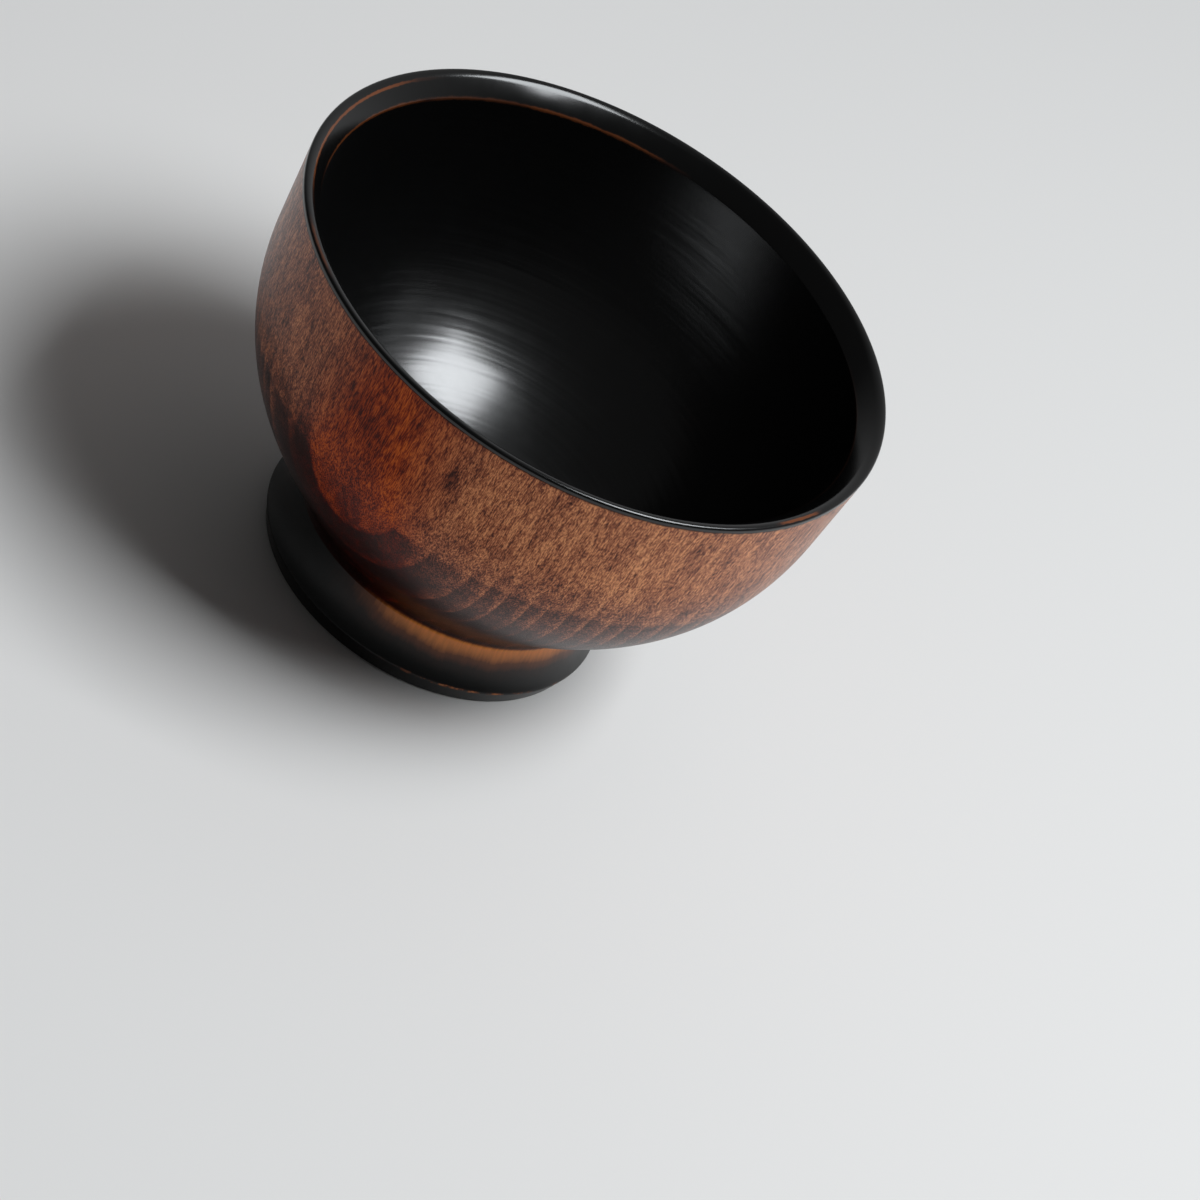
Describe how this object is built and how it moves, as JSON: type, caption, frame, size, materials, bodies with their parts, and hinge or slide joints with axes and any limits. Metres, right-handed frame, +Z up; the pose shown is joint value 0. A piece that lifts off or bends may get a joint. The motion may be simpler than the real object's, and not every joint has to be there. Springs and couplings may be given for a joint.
{
  "type": "bowl",
  "caption": "Round turned-wood soup bowl on a flared foot, clear amber-brown lacquer outside and satin black lacquer inside, on the lip and on the foot.",
  "frame": {"origin": "on the axis of the turning, at the level of the ring that the bowl stands on", "axes": "+Z up along the axis of the turning; X and Y are free, because the bowl is round"},
  "size_m": [0.12, 0.12, 0.077],
  "materials": {
    "turned_wood": "bare turned wood under the lacquer, fine straight grain along the axis",
    "amber_lacquer": "satin clear amber-brown lacquer, wood grain showing through",
    "black_lacquer_inside": "satin black lacquer with faint turning rings",
    "black_lacquer_rim": "satin black lacquer, rubbed through to amber along its two edges",
    "black_lacquer_foot": "satin black lacquer, amber at the neck and along the widest edge",
    "black_lacquer_base": "satin black lacquer"
  },
  "bodies": {
    "root": {"wood_body": "turned_wood", "outer_lacquer": "amber_lacquer", "inner_lacquer": "black_lacquer_inside", "rim_lacquer": "black_lacquer_rim", "foot_lacquer": "black_lacquer_foot", "base_lacquer": "black_lacquer_base"}
  },
  "joints": []
}
